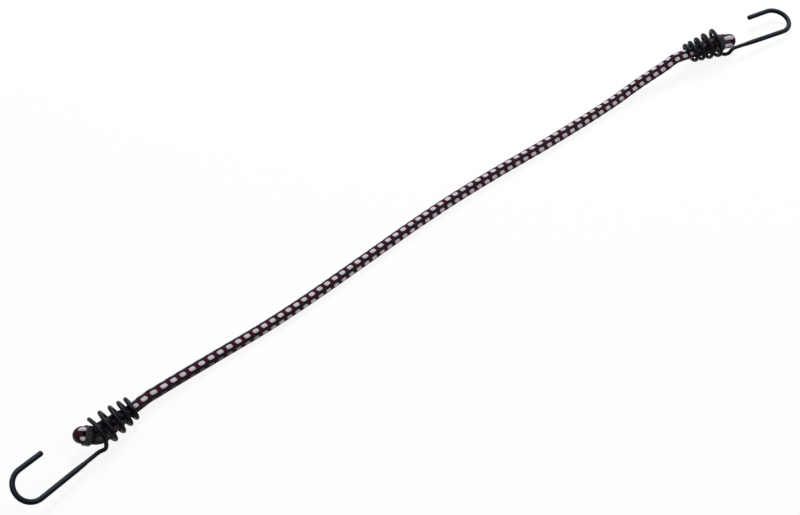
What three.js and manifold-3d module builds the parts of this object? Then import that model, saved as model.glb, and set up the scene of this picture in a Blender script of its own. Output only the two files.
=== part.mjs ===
// Bungee cord: rubber threads in a woven sleeve. Each end of the cord is folded back on itself, held
// by a crimped clip and gripped by a tapering steel spiral, which runs on into a vinyl-dipped hook.
// Millimetres. +X runs from the near hook to the far hook, +Z is up, and the cord lies on z = 0.
import * as THREE from 'three';
import Module from 'manifold-3d';

const wasm = await Module();
wasm.setup();

// Cord
const CORD_DIAMETER = 8;
const SLEEVE_WALL = 0.5;
const THREAD_REACH = 2; // rubber threads each way from the middle one, in a diamond
const FIT_GAP = 0.3; // clearance between pieces that bear on each other

// Folded cord end, measured along the spiral's axis from its narrow mouth
const SLEEVE_REACH = 6; // the round cord runs this far into the spiral
const FOLD_FLAT_INSIDE = 17; // the cord is fully flattened this far before the spiral's end
const TAIL_INSIDE = 16.5; // the tail that is folded back is cut this far before the spiral's end
const FOLD_LEG_THICKNESS = 5.2;
const FOLD_LEG_WIDTH = 9.6;
const FOLD_LEG_GAP = 0.4;
const FOLD_SWELL = 1.06; // the cord swells again beyond the clip
const FOLD_SWELL_LENGTH = 5;
const STUB_BEND_RADIUS = 12;

// Crimped clip round the folded end
const CLIP_WIDTH = 4.6;
const CLIP_THICKNESS = 0.5;
const CLIP_BEAD = 0.25;
const CLIP_SEAM = 0.8;

// Hook wire
const WIRE_DIAMETER = 2.8;
const COIL_TURNS = 4.96;
const COIL_LENGTH = 33;
const COIL_MOUTH_GAP = 0.4; // round the cord
const COIL_END_BORE = 17.2;
const COIL_EVENNESS = 0.35; // 1 is an even pitch, less closes the turns up at the cord's mouth
const SHANK_BEND = 4.5;
const SHANK_LENGTH = 51.7;
const HOOK_SPAN = 22.2; // shank to tip, between centre lines
const TIP_LENGTH = 17.2;
const TIP_CHAMFER = 0.6;
const FLAT_DEPTH = 0.5; // flats where the wire stands on the floor

// Vinyl dip on the hook
const COAT_GAP = 0.1;
const COAT_WALL = 0.3;
const COAT_END = 1;
const COAT_LIP = 0.15;
const COAT_COVER = 36; // along the shank, back from the bend
const COAT_TAPER = 14;

// Facets
const CORD_SIDES = 12;
const CORD_STEPS = 26;
const FOLD_SIDES = 12;
const WIRE_SIDES = 8;
const TURN_STEPS = 20;
const BEND_STEPS = 14;
const CLIP_CORNER_STEPS = 5;

// Each end: the mouth's place on the floor plan, the way the spiral's axis points and the hook's roll about
// it; the stub's reach, the clip's middle and the start of the stub's bend, all beyond the spiral's end; and
// the direction from the tail to the main leg of the fold, and the bend itself. Angles are in degrees
const ENDS = {
  near: {
    x: -250.64, y: 8.65, heading: 189.1, pitch: 5.1, roll: -31.9,
    stub: 14, clip: 4.8, bendFrom: -4.8, fold: 143, bendTo: 149, bend: 44,
  },
  far: {
    x: 250.46, y: 9.4, heading: -9.6, pitch: -4.25, roll: 188.3,
    stub: 11, clip: -4.2, bendFrom: -1, fold: 57, bendTo: -90, bend: 18,
  },
};

// The cord's course over the floor between the two mouths: x, y and the height of its underside
const ROUTE = [
  [-232, 10.7, 2.2],
  [-213, 11.4, 0.6],
  [-188, 11, 0],
  [-145, 9.7, 0],
  [-105, 10.6, 0],
  [-60, 13.1, 0],
  [-15, 15.7, 0],
  [25, 16.9, 0],
  [65, 16.4, 0],
  [110, 14.8, 0],
  [150, 14.3, 0],
  [180, 14.4, 0.7],
  [205, 13.8, 4.2],
  [228, 11.8, 8.2],
];

// Derived sizes
const cordRadius = CORD_DIAMETER / 2;
const cordFlat = cordRadius * Math.cos(Math.PI / CORD_SIDES);
const wireRadius = WIRE_DIAMETER / 2;
const coilMouthRadius = cordRadius + COIL_MOUTH_GAP + wireRadius;
const coilEndRadius = COIL_END_BORE / 2 + wireRadius;
const bendStart = COIL_LENGTH + SHANK_LENGTH;
const hookRadius = HOOK_SPAN / 2;
const legOffset = (FOLD_LEG_THICKNESS + FOLD_LEG_GAP) / 2;
const crownReach = (legOffset + FOLD_LEG_THICKNESS / 2) * FOLD_SWELL;

const radians = THREE.MathUtils.degToRad;
const smooth = (value, low, high) => THREE.MathUtils.smoothstep(value, low, high);
const mix = THREE.MathUtils.lerp;
const vector = (x, y, z) => new THREE.Vector3(x, y, z);

// Closed body from rings with equal numbers of points: capped at both ends, or run round into a loop
function loft(rings, loop = false) {
  const count = rings[0].length;
  const positions = rings.flat().flatMap((point) => point.toArray());
  const index = [];
  const bands = loop ? rings.length : rings.length - 1;
  for (let i = 0; i < bands; i += 1) {
    const low = i * count;
    const high = ((i + 1) % rings.length) * count;
    for (let j = 0; j < count; j += 1) {
      const next = (j + 1) % count;
      index.push(low + j, low + next, high + next, low + j, high + next, high + j);
    }
  }
  if (!loop) {
    const last = (rings.length - 1) * count;
    for (let j = 1; j < count - 1; j += 1) {
      index.push(0, j + 1, j, last, last + j, last + j + 1);
    }
  }
  return facingOut(positions, index);
}

// Geometry whose triangles face out, judged by the sign of its volume
function facingOut(positions, index) {
  const corner = (i) => vector().fromArray(positions, index[i] * 3);
  let volume = 0;
  for (let i = 0; i < index.length; i += 3) {
    volume += corner(i).dot(corner(i + 1).cross(corner(i + 2)));
  }
  const facing = volume > 0 ? index : index.slice().reverse();
  const geometry = new THREE.BufferGeometry();
  geometry.setAttribute('position', new THREE.Float32BufferAttribute(positions, 3));
  geometry.setIndex(facing);
  geometry.computeVertexNormals();
  return geometry;
}

// Directions across a path: the first normal is carried along it without twist
function carryFrames(points, firstNormal) {
  let normal = firstNormal.clone();
  return points.map((point, i) => {
    const from = points[Math.max(i - 1, 0)];
    const to = points[Math.min(i + 1, points.length - 1)];
    const tangent = to.clone().sub(from).normalize();
    normal = normal.clone().addScaledVector(tangent, -normal.dot(tangent)).normalize();
    return { point, tangent, normal, binormal: tangent.clone().cross(normal) };
  });
}

// Directions across the cord: sideways and up, so that one of its flats faces the floor
function levelFrames(points) {
  return points.map((point, i) => {
    const from = points[Math.max(i - 1, 0)];
    const to = points[Math.min(i + 1, points.length - 1)];
    const tangent = to.clone().sub(from).normalize();
    const normal = vector(0, 0, 1).cross(tangent).normalize();
    return { point, tangent, normal, binormal: tangent.clone().cross(normal) };
  });
}

function ringAt(frame, across, up, sides, phase = 0) {
  return Array.from({ length: sides }, (_, i) => {
    const angle = ((i + phase) / sides) * 2 * Math.PI;
    return frame.point
      .clone()
      .addScaledVector(frame.normal, across * Math.cos(angle))
      .addScaledVector(frame.binormal, up * Math.sin(angle));
  });
}

function pieceOf(name, geometry, color, roughness, metalness) {
  const mesh = new THREE.Mesh(geometry, new THREE.MeshStandardMaterial({ color, roughness, metalness }));
  mesh.name = name;
  return mesh;
}

function solidOf(geometry) {
  const vertProperties = new Float32Array(geometry.attributes.position.array);
  const triVerts = new Uint32Array(geometry.index.array);
  return new wasm.Manifold(new wasm.Mesh({ numProp: 3, vertProperties, triVerts }));
}

function boxIndexed(size, centre) {
  const half = size / 2;
  const ring = (z) => [[-1, -1], [1, -1], [1, 1], [-1, 1]].map(([x, y]) => vector(x * half, y * half, z));
  return loft([ring(-half), ring(half)].map((points) => points.map((point) => point.add(centre))));
}

// Cut away what lies below the floor, for geometry in the axes of a turned and placed group
function cutFlat(geometry, placed) {
  const floorSize = 400;
  const floor = boxIndexed(floorSize, vector(placed.elements[12], placed.elements[13], -floorSize / 2));
  floor.applyMatrix4(placed.clone().invert());
  const cut = solidOf(geometry).subtract(solidOf(floor)).getMesh();
  return facingOut(Array.from(cut.vertProperties), Array.from(cut.triVerts));
}

// Centre line of the hook's wire: spiral, turn into the shank, shank, round bend and tip
function wirePath() {
  const points = [];
  const sweep = 2 * Math.PI * COIL_TURNS;
  const exitAngle = Math.asin(SHANK_BEND / coilEndRadius);
  const coilSteps = Math.round(COIL_TURNS * TURN_STEPS);
  for (let i = 0; i <= coilSteps; i += 1) {
    const along = i / coilSteps;
    const share = COIL_EVENNESS * along + (1 - COIL_EVENNESS) * along ** 1.5;
    const radius = mix(coilMouthRadius, coilEndRadius, share);
    const angle = mix(sweep, exitAngle, along);
    points.push(vector(COIL_LENGTH * share, radius * Math.cos(angle), radius * Math.sin(angle)));
  }
  const coilCount = points.length;
  const exit = points[coilCount - 1];
  const handle = SHANK_BEND * 0.8;
  const leave = exit.clone().sub(points[coilCount - 2]).setLength(handle).add(exit);
  const shankFrom = vector(COIL_LENGTH + SHANK_BEND * 1.2, exit.y, 0);
  const shankTo = vector(bendStart, coilEndRadius, 0);
  const arrive = shankFrom.clone().sub(shankTo).setLength(handle).add(shankFrom);
  points.push(...new THREE.CubicBezierCurve3(exit, leave, arrive, shankFrom).getPoints(6).slice(1));
  const coatFrom = points.length;
  const onShank = (x) => shankFrom.clone().lerp(shankTo, (x - shankFrom.x) / (shankTo.x - shankFrom.x));
  points.push(onShank(bendStart - COAT_COVER), onShank(bendStart - COAT_COVER + COAT_TAPER));
  for (let i = 0; i <= BEND_STEPS; i += 1) {
    const angle = (Math.PI * i) / BEND_STEPS;
    const y = coilEndRadius - hookRadius + hookRadius * Math.cos(angle);
    points.push(vector(bendStart + hookRadius * Math.sin(angle), y, 0));
  }
  const tipY = coilEndRadius - HOOK_SPAN;
  points.push(vector(bendStart - TIP_LENGTH + TIP_CHAMFER, tipY, 0));
  points.push(vector(bendStart - TIP_LENGTH, tipY, 0));
  return { points, coilCount, coatFrom };
}

// Least clear distance between one turn of the spiral and the next
function leastTurnGap(points, coilCount) {
  let least = Infinity;
  for (let i = 0; i < coilCount; i += 1) {
    for (let j = i + TURN_STEPS / 2; j < coilCount; j += 1) {
      least = Math.min(least, points[i].distanceTo(points[j]) - WIRE_DIAMETER);
    }
  }
  return least;
}

const wire = wirePath();
const wireFrames = carryFrames(wire.points, vector(1, 0, 0));
console.log(`least gap between turns ${leastTurnGap(wire.points, wire.coilCount).toFixed(2)} mm`);

function wireGeometry() {
  const last = wireFrames.length - 1;
  const rings = wireFrames.map((frame, i) => {
    const radius = i === last ? wireRadius - TIP_CHAMFER : wireRadius;
    return ringAt(frame, radius, radius, WIRE_SIDES);
  });
  return loft(rings);
}

// The vinyl: a thin lip on the shank, full from the taper's end, closed and rounded over the tip
function coatGeometry() {
  const covered = wireFrames.slice(wire.coatFrom);
  const bore = wireRadius + COAT_GAP;
  const end = covered[covered.length - 1];
  const beyond = (frame, distance) => ({
    ...frame,
    point: frame.point.clone().addScaledVector(frame.tangent, distance),
  });
  const inside = [...covered.slice(0, -1), beyond(end, COAT_GAP)];
  const inner = inside.map((frame) => ringAt(frame, bore, bore, WIRE_SIDES));
  const outer = covered.slice(0, -1).map((frame, i) => {
    const radius = bore + (i === 0 ? COAT_LIP : COAT_WALL);
    return ringAt(frame, radius, radius, WIRE_SIDES);
  });
  const shoulder = bore + COAT_WALL;
  outer.push(ringAt(beyond(end, COAT_GAP), shoulder, shoulder, WIRE_SIDES));
  const crown = shoulder / 2;
  outer.push(ringAt(beyond(end, COAT_GAP + COAT_END), crown, crown, WIRE_SIDES));
  return loft([...inner.reverse(), ...outer]);
}

// Group at a spiral's mouth, with X out along the axis, Y level and Z up, that stands its turns on the floor
function endGroup({ x, y, heading, pitch, roll }) {
  const group = new THREE.Group();
  group.rotation.set(0, -radians(pitch), radians(heading), 'ZYX');
  const turned = new THREE.Matrix4().makeRotationFromEuler(group.rotation);
  turned.multiply(new THREE.Matrix4().makeRotationX(radians(roll)));
  const standing = wireGeometry().applyMatrix4(turned);
  standing.computeBoundingBox();
  group.position.set(x, y, -standing.boundingBox.min.z - FLAT_DEPTH);
  group.updateMatrixWorld(true);
  return group;
}

// Middle line of the folded end in the mouth's axes: straight, then bent over to one side
function stubFrame(along, { bendFrom, fold, bendTo, bend }) {
  const side = vector(0, Math.cos(radians(bendTo)), Math.sin(radians(bendTo)));
  const axis = vector(1, 0, 0).cross(side);
  const bendAt = COIL_LENGTH + bendFrom;
  const arc = THREE.MathUtils.clamp(along - bendAt, 0, STUB_BEND_RADIUS * radians(bend));
  const angle = arc / STUB_BEND_RADIUS;
  const tangent = vector(1, 0, 0).applyAxisAngle(axis, angle);
  const normal = vector(0, Math.cos(radians(fold)), Math.sin(radians(fold))).applyAxisAngle(axis, angle);
  const straight = along - arc;
  const before = Math.min(straight, bendAt);
  const point = vector(before + STUB_BEND_RADIUS * Math.sin(angle), 0, 0)
    .addScaledVector(side, STUB_BEND_RADIUS * (1 - Math.cos(angle)))
    .addScaledVector(tangent, straight - before);
  return { point, tangent, normal, binormal: tangent.clone().cross(normal) };
}

// Both legs of the fold and the turn between them: flattened from the round cord, tightest in the clip
function foldGeometry(end) {
  const rings = [];
  const turnStart = COIL_LENGTH + end.stub - crownReach;
  const swellFrom = COIL_LENGTH + end.clip + CLIP_WIDTH / 2;
  const addLeg = (frame, reach, flat = 1) => {
    const swell = mix(1, FOLD_SWELL, smooth(reach, swellFrom, swellFrom + FOLD_SWELL_LENGTH));
    const point = frame.point.clone().addScaledVector(frame.normal, legOffset * flat * swell);
    const thickness = mix(CORD_DIAMETER, FOLD_LEG_THICKNESS * swell, flat);
    const width = mix(CORD_DIAMETER, FOLD_LEG_WIDTH * swell, flat);
    rings.push(ringAt({ ...frame, point }, thickness / 2, width / 2, FOLD_SIDES, 0.5));
  };
  const mainFrom = SLEEVE_REACH + FIT_GAP;
  const mainSteps = 10;
  for (let i = 0; i <= mainSteps; i += 1) {
    const along = mix(mainFrom, turnStart, i / mainSteps);
    addLeg(stubFrame(along, end), along, smooth(along, mainFrom, COIL_LENGTH - FOLD_FLAT_INSIDE));
  }
  const crown = stubFrame(turnStart, end);
  const crownSteps = 8;
  for (let i = 1; i < crownSteps; i += 1) {
    const angle = (Math.PI * i) / crownSteps;
    const normal = crown.normal.clone().multiplyScalar(Math.cos(angle));
    normal.addScaledVector(crown.tangent, Math.sin(angle));
    addLeg({ ...crown, normal }, turnStart + legOffset * Math.min(angle, Math.PI - angle));
  }
  const tailSteps = 6;
  for (let i = 0; i <= tailSteps; i += 1) {
    const along = mix(turnStart, COIL_LENGTH - TAIL_INSIDE, i / tailSteps);
    const frame = stubFrame(along, end);
    addLeg({ ...frame, normal: frame.normal.clone().negate() }, along);
  }
  return loft(rings);
}

// Outline of the clip's inner face, from one side of its seam round to the other
function clipOutline() {
  const halfLong = legOffset + FOLD_LEG_THICKNESS / 2 + FIT_GAP;
  const halfWide = FOLD_LEG_WIDTH / 2 + FIT_GAP;
  const corner = Math.min(halfLong, halfWide) * 0.75;
  const outline = [{ at: [-halfLong, -CLIP_SEAM / 2], out: Math.PI }];
  [[-1, -1], [1, -1], [1, 1], [-1, 1]].forEach(([across, up], quarter) => {
    for (let i = 0; i <= CLIP_CORNER_STEPS; i += 1) {
      const out = Math.PI + (Math.PI / 2) * (quarter + i / CLIP_CORNER_STEPS);
      const x = across * (halfLong - corner) + corner * Math.cos(out);
      const y = up * (halfWide - corner) + corner * Math.sin(out);
      outline.push({ at: [x, y], out });
    }
  });
  outline.push({ at: [-halfLong, CLIP_SEAM / 2], out: Math.PI });
  return outline;
}

// A strip with two pressed beads, bent round the folded end
function clipGeometry(end) {
  const seat = stubFrame(COIL_LENGTH + end.clip, end);
  const proud = CLIP_THICKNESS + CLIP_BEAD;
  const bead = [[0.5, CLIP_THICKNESS], [0.36, CLIP_THICKNESS], [0.23, proud], [0.1, CLIP_THICKNESS]];
  const upper = [[0, 0], [-0.5, 0], ...bead.map(([place, height]) => [-place, height])];
  const lower = bead.map(([place, height]) => [place, height]).reverse();
  const section = [...upper, ...lower, [0.5, 0]];
  const rings = clipOutline().map(({ at, out }) => {
    const normal = seat.normal.clone().multiplyScalar(Math.cos(out));
    normal.addScaledVector(seat.binormal, Math.sin(out));
    const foot = seat.point.clone().addScaledVector(seat.normal, at[0]).addScaledVector(seat.binormal, at[1]);
    return section.map(([place, height]) =>
      foot.clone().addScaledVector(seat.tangent, place * CLIP_WIDTH).addScaledVector(normal, height));
  });
  return loft(rings);
}

// Stations of the round cord, from inside one spiral to inside the other
function cordFrames(nearGroup, farGroup) {
  const lead = [SLEEVE_REACH, SLEEVE_REACH / 2];
  const onAxis = (group, distance) => group.localToWorld(vector(distance, 0, 0));
  const onFloor = (point) => point.setZ(Math.max(point.z, cordFlat));
  const leadIn = 12;
  const course = new THREE.CatmullRomCurve3([
    onAxis(nearGroup, 0),
    onAxis(nearGroup, -leadIn),
    ...ROUTE.map(([x, y, under]) => vector(x, y, under + cordFlat)),
    onAxis(farGroup, -leadIn),
    onAxis(farGroup, 0),
  ]);
  return levelFrames([
    ...lead.map((distance) => onAxis(nearGroup, distance)),
    ...course.getSpacedPoints(CORD_STEPS).map(onFloor),
    ...lead.reverse().map((distance) => onAxis(farGroup, distance)),
  ]);
}

function sleeveGeometry(frames) {
  const bore = cordRadius - SLEEVE_WALL;
  const outer = frames.map((frame) => ringAt(frame, cordRadius, cordRadius, CORD_SIDES, 0.5));
  const inner = frames.map((frame) => ringAt(frame, bore, bore, CORD_SIDES, 0.5));
  return loft([...outer, ...inner.reverse()], true);
}

// Square rubber threads in a diamond that fills the sleeve's bore
function addThreads(group, frames) {
  const room = (cordRadius - SLEEVE_WALL) * Math.cos(Math.PI / CORD_SIDES) - FIT_GAP;
  const size = (room - THREAD_REACH * FIT_GAP) / (THREAD_REACH + 0.55);
  const pitch = size + FIT_GAP;
  const halfDiagonal = size / Math.SQRT2;
  let count = 0;
  for (let row = -THREAD_REACH; row <= THREAD_REACH; row += 1) {
    const reach = THREAD_REACH - Math.abs(row);
    for (let column = -reach; column <= reach; column += 1) {
      const rings = frames.map((frame) => {
        const point = frame.point.clone();
        point.addScaledVector(frame.normal, column * pitch).addScaledVector(frame.binormal, row * pitch);
        return ringAt({ ...frame, point }, halfDiagonal, halfDiagonal, 4, 0.5);
      });
      count += 1;
      const name = `rubber_thread_${String(count).padStart(2, '0')}`;
      group.add(pieceOf(name, loft(rings), 0x8a7f6a, 0.75, 0));
    }
  }
}

function addEnd(group, name, end) {
  const hook = new THREE.Group();
  hook.rotation.x = radians(end.roll);
  group.add(hook);
  group.updateMatrixWorld(true);
  hook.add(pieceOf(`${name}_hook_wire`, cutFlat(wireGeometry(), hook.matrixWorld), 0x2c3034, 0.42, 0.75));
  hook.add(pieceOf(`${name}_hook_coat`, cutFlat(coatGeometry(), hook.matrixWorld), 0x22262c, 0.5, 0));
  group.add(pieceOf(`${name}_cord_fold`, foldGeometry(end), 0x1c1a1e, 0.85, 0));
  group.add(pieceOf(`${name}_clip`, clipGeometry(end), 0x8d8c90, 0.4, 0.9));
}

const bungee = new THREE.Group();
bungee.name = 'bungee_cord';
const nearEnd = endGroup(ENDS.near);
const farEnd = endGroup(ENDS.far);
const frames = cordFrames(nearEnd, farEnd);
bungee.add(pieceOf('sleeve', sleeveGeometry(frames), 0x1c1a1e, 0.85, 0));
addThreads(bungee, frames);
addEnd(nearEnd, 'near', ENDS.near);
addEnd(farEnd, 'far', ENDS.far);
bungee.add(nearEnd, farEnd);

export default bungee;
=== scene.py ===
import logging
import math
from dataclasses import dataclass
from enum import Enum
from typing import Mapping, Optional, Sequence, Union

import bpy
import numpy as np
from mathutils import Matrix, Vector


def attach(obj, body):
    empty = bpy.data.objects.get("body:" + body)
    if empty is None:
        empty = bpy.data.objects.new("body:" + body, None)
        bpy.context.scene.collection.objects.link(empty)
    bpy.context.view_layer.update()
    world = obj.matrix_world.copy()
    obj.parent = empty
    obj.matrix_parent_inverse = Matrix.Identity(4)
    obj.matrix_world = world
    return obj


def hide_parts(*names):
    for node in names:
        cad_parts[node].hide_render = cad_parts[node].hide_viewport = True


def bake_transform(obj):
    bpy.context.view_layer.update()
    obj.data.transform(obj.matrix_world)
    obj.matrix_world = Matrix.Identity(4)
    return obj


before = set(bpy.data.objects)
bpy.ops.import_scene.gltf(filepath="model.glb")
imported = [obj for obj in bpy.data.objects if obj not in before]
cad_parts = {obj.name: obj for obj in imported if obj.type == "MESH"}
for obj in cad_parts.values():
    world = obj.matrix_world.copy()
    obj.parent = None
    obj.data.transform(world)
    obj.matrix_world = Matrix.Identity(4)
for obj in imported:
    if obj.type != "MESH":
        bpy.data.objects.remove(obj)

log = logging.getLogger("bungee_cord")

MM = 0.001
FULL_TURN = 2 * math.pi
OUT = np.array([1.0, 0.0, 0.0])
WHITE = (1.0, 1.0, 1.0, 1.0)
Key = Union[str, int]
Colour = tuple[float, float, float, float]
Range = tuple[float, float]
Point = tuple[float, float, float]


class Body(Enum):
    """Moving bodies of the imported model."""

    CORD = "cord"
    NEAR_HOOK = "near_hook"
    FAR_END = "far_end"
    FAR_HOOK = "far_hook"


class Slot(Enum):
    """Names of the material slots."""

    WOVEN = "woven_sleeve"
    RUBBER = "rubber_core"
    CLIP = "clip_steel"
    WIRE = "black_wire"
    DIP = "vinyl_dip"


class Side(Enum):
    """The two ends of the cord."""

    NEAR = "near"
    FAR = "far"


def srgb(red: int, green: int, blue: int) -> Colour:
    """Turn a colour in 0 to 255 steps into Blender's linear values.

    Args:
        red: Red step.
        green: Green step.
        blue: Blue step.

    Returns:
        The linear colour with full alpha.
    """
    def linear(step: int) -> float:
        """Linear value of one step."""
        share = step / 255
        return share / 12.92 if share <= 0.04045 else ((share + 0.055) / 1.055) ** 2.4

    return (linear(red), linear(green), linear(blue), 1.0)


def smooth(value: np.ndarray, low: float, high: float) -> np.ndarray:
    """Smooth step from 0 at low to 1 at high."""
    share = np.clip((value - low) / (high - low), 0.0, 1.0)
    return share * share * (3.0 - 2.0 * share)


def mix(low: np.ndarray, high: np.ndarray, share: np.ndarray) -> np.ndarray:
    """Straight mix between two values."""
    return low + (high - low) * share


def unit(vectors: np.ndarray) -> np.ndarray:
    """Scale vectors to length one."""
    return vectors / np.linalg.norm(vectors, axis=-1, keepdims=True)


def step_lengths(points: np.ndarray) -> np.ndarray:
    """Distance from each point of a line to the next."""
    return np.linalg.norm(np.diff(points, axis=0), axis=1)


def run_lengths(points: np.ndarray) -> np.ndarray:
    """Length of a line from its first point to each of its points."""
    return np.concatenate([[0.0], np.cumsum(step_lengths(points))])


def ring_angles(sides: int) -> np.ndarray:
    """Angles of the points in a ring."""
    return np.arange(sides) / sides * 2 * np.pi


def turned(vectors: np.ndarray, axis: np.ndarray, angle: np.ndarray) -> np.ndarray:
    """Turn vectors about a unit axis.

    Args:
        vectors: Rows of vectors, or one vector.
        axis: Unit axis.
        angle: Angle in radians, one for all or one for each row.

    Returns:
        The turned rows.
    """
    angle = np.asarray(angle, float)[..., None]
    along = np.dot(vectors, axis)[..., None] * axis
    return vectors * np.cos(angle) + np.cross(axis, vectors) * np.sin(angle) + along * (1 - np.cos(angle))


# Node trees


class Field:
    """One value of a node tree. Arithmetic on it adds Math nodes to that tree."""

    def __init__(self, graph: "Graph", socket: bpy.types.NodeSocket) -> None:
        """Keep the tree and the socket that the value comes from."""
        self.graph = graph
        self.socket = socket

    def output(self, key: Key) -> "Field":
        """Another output of the same node."""
        return Field(self.graph, self.graph.socket(self.socket.node.outputs, key))

    def __add__(self, other: "Value") -> "Field":
        """Sum."""
        return self.graph.math("ADD", self, other)

    __radd__ = __add__

    def __sub__(self, other: "Value") -> "Field":
        """Difference."""
        return self.graph.math("SUBTRACT", self, other)

    def __rsub__(self, other: "Value") -> "Field":
        """Difference from a number."""
        return self.graph.math("SUBTRACT", other, self)

    def __mul__(self, other: "Value") -> "Field":
        """Product."""
        return self.graph.math("MULTIPLY", self, other)

    __rmul__ = __mul__

    def __truediv__(self, other: "Value") -> "Field":
        """Quotient."""
        return self.graph.math("DIVIDE", self, other)

    def __pow__(self, other: "Value") -> "Field":
        """Power."""
        return self.graph.math("POWER", self, other)

    def __abs__(self) -> "Field":
        """Size without its sign."""
        return self.graph.math("ABSOLUTE", self)

    def fraction(self) -> "Field":
        """Part after the point."""
        return self.graph.math("FRACT", self)

    def steps(self) -> "Field":
        """Whole number below."""
        return self.graph.math("FLOOR", self)

    def sine(self) -> "Field":
        """Sine of an angle."""
        return self.graph.math("SINE", self)

    def most(self, other: "Value") -> "Field":
        """Greater of two values."""
        return self.graph.math("MAXIMUM", self, other)

    def ramp(self, low: float, high: float) -> "Field":
        """Smooth step from 0 at low to 1 at high."""
        sockets = {"Value": self, "From Min": low, "From Max": high, "To Min": 0.0, "To Max": 1.0}
        return self.graph.node("ShaderNodeMapRange", {"interpolation_type": "SMOOTHSTEP"}, sockets)

    def spread(self, low: float, high: float) -> "Field":
        """Stretch a value of 0 to 1 over a range."""
        return self * (high - low) + low


Value = Union[Field, float, int]


class Graph:
    """Adds nodes to one node tree."""

    def __init__(self, tree: bpy.types.NodeTree) -> None:
        """Keep the tree."""
        self.tree = tree

    @classmethod
    def emptied(cls, owner: Union[bpy.types.Material, bpy.types.World]) -> "Graph":
        """Start with an empty tree on a material or a world.

        Args:
            owner: The material or world.

        Returns:
            Its tree.
        """
        owner.use_nodes = True
        owner.node_tree.nodes.clear()
        return cls(owner.node_tree)

    @staticmethod
    def socket(sockets: bpy.types.bpy_prop_collection, key: Key) -> bpy.types.NodeSocket:
        """Find a socket by its place, its identifier or its name.

        Args:
            sockets: Inputs or outputs of a node.
            key: Place, identifier or name.

        Returns:
            The socket.
        """
        if isinstance(key, int):
            return sockets[key]
        for socket in sockets:
            if socket.identifier == key:
                return socket
        return sockets[key]

    def feed(self, socket: bpy.types.NodeSocket, value: object) -> None:
        """Link values to a socket, or set the socket.

        Args:
            socket: The input.
            value: A value to link, a list of them, or what the socket is set to.
        """
        for part in value if isinstance(value, list) else [value]:
            if isinstance(part, Field):
                self.tree.links.new(part.socket, socket)
            else:
                socket.default_value = part

    def node(
        self,
        kind: str,
        settings: Optional[Mapping[str, object]] = None,
        sockets: Optional[Mapping[Key, object]] = None,
        output: Key = 0,
    ) -> Field:
        """Add a node.

        Args:
            kind: Node type.
            settings: Its settings, which are set first. "captures" adds captured values by kind and name.
            sockets: Values or links of its sockets, by identifier, name or place.
            output: Output that is handed back.

        Returns:
            That output as a value.
        """
        made = self.tree.nodes.new(kind)
        for key, value in (settings or {}).items():
            if key == "captures":
                for capture, name in value:
                    made.capture_items.new(capture, name)
            else:
                setattr(made, key, value)
        for key, value in (sockets or {}).items():
            self.feed(self.socket(made.inputs, key), value)
        return Field(self, self.socket(made.outputs, output))

    def end(self, kind: str, key: str, value: Field) -> None:
        """Add the tree's ending node and link a value to it."""
        self.feed(self.tree.nodes.new(kind).inputs[key], value)

    def math(self, operation: str, *values: Value) -> Field:
        """Add a Math node on one, two or three values."""
        return self.node("ShaderNodeMath", {"operation": operation}, dict(enumerate(values)))

    def split(self, vector: Field) -> tuple[Field, Field, Field]:
        """Three parts of a vector."""
        first = self.node("ShaderNodeSeparateXYZ", None, {0: vector}, "X")
        return first, first.output("Y"), first.output("Z")

    def joined(self, x: Value, y: Value, z: Value) -> Field:
        """Vector of three values."""
        return self.node("ShaderNodeCombineXYZ", None, {"X": x, "Y": y, "Z": z})

    def blended(self, share: Value, low: object, high: object) -> Field:
        """Mix two colours."""
        sockets = {"Factor_Float": share, "A_Color": low, "B_Color": high}
        return self.node("ShaderNodeMix", {"data_type": "RGBA"}, sockets, "Result_Color")

    def noise(self, vector: Field, scale: float, detail: float) -> Field:
        """Soft noise from 0 to 1."""
        sockets = {"Vector": vector, "Scale": scale, "Detail": detail}
        return self.node("ShaderNodeTexNoise", None, sockets, "Fac")

    def bump(self, height: Field, depth: float, strength: float) -> Field:
        """Normal bumped by a height of 0 to 1, whose full step is as deep as said, in metres."""
        sockets = {"Height": height, "Distance": depth, "Strength": strength}
        return self.node("ShaderNodeBump", None, sockets, "Normal")

    def place(self) -> Field:
        """Object coordinates in metres."""
        return self.node("ShaderNodeTexCoord", None, None, "Object")

    def upward(self) -> Field:
        """How far a face of the piece looks up, from -1 to 1."""
        return self.split(self.node("ShaderNodeTexCoord", None, None, "Normal"))[2]

    def seen_directly(self) -> Field:
        """1 for rays from the camera, from gloss and through glass."""
        camera = self.node("ShaderNodeLightPath", None, None, "Is Camera Ray")
        return camera.most(camera.output("Is Glossy Ray")).most(camera.output("Is Transmission Ray"))


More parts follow.
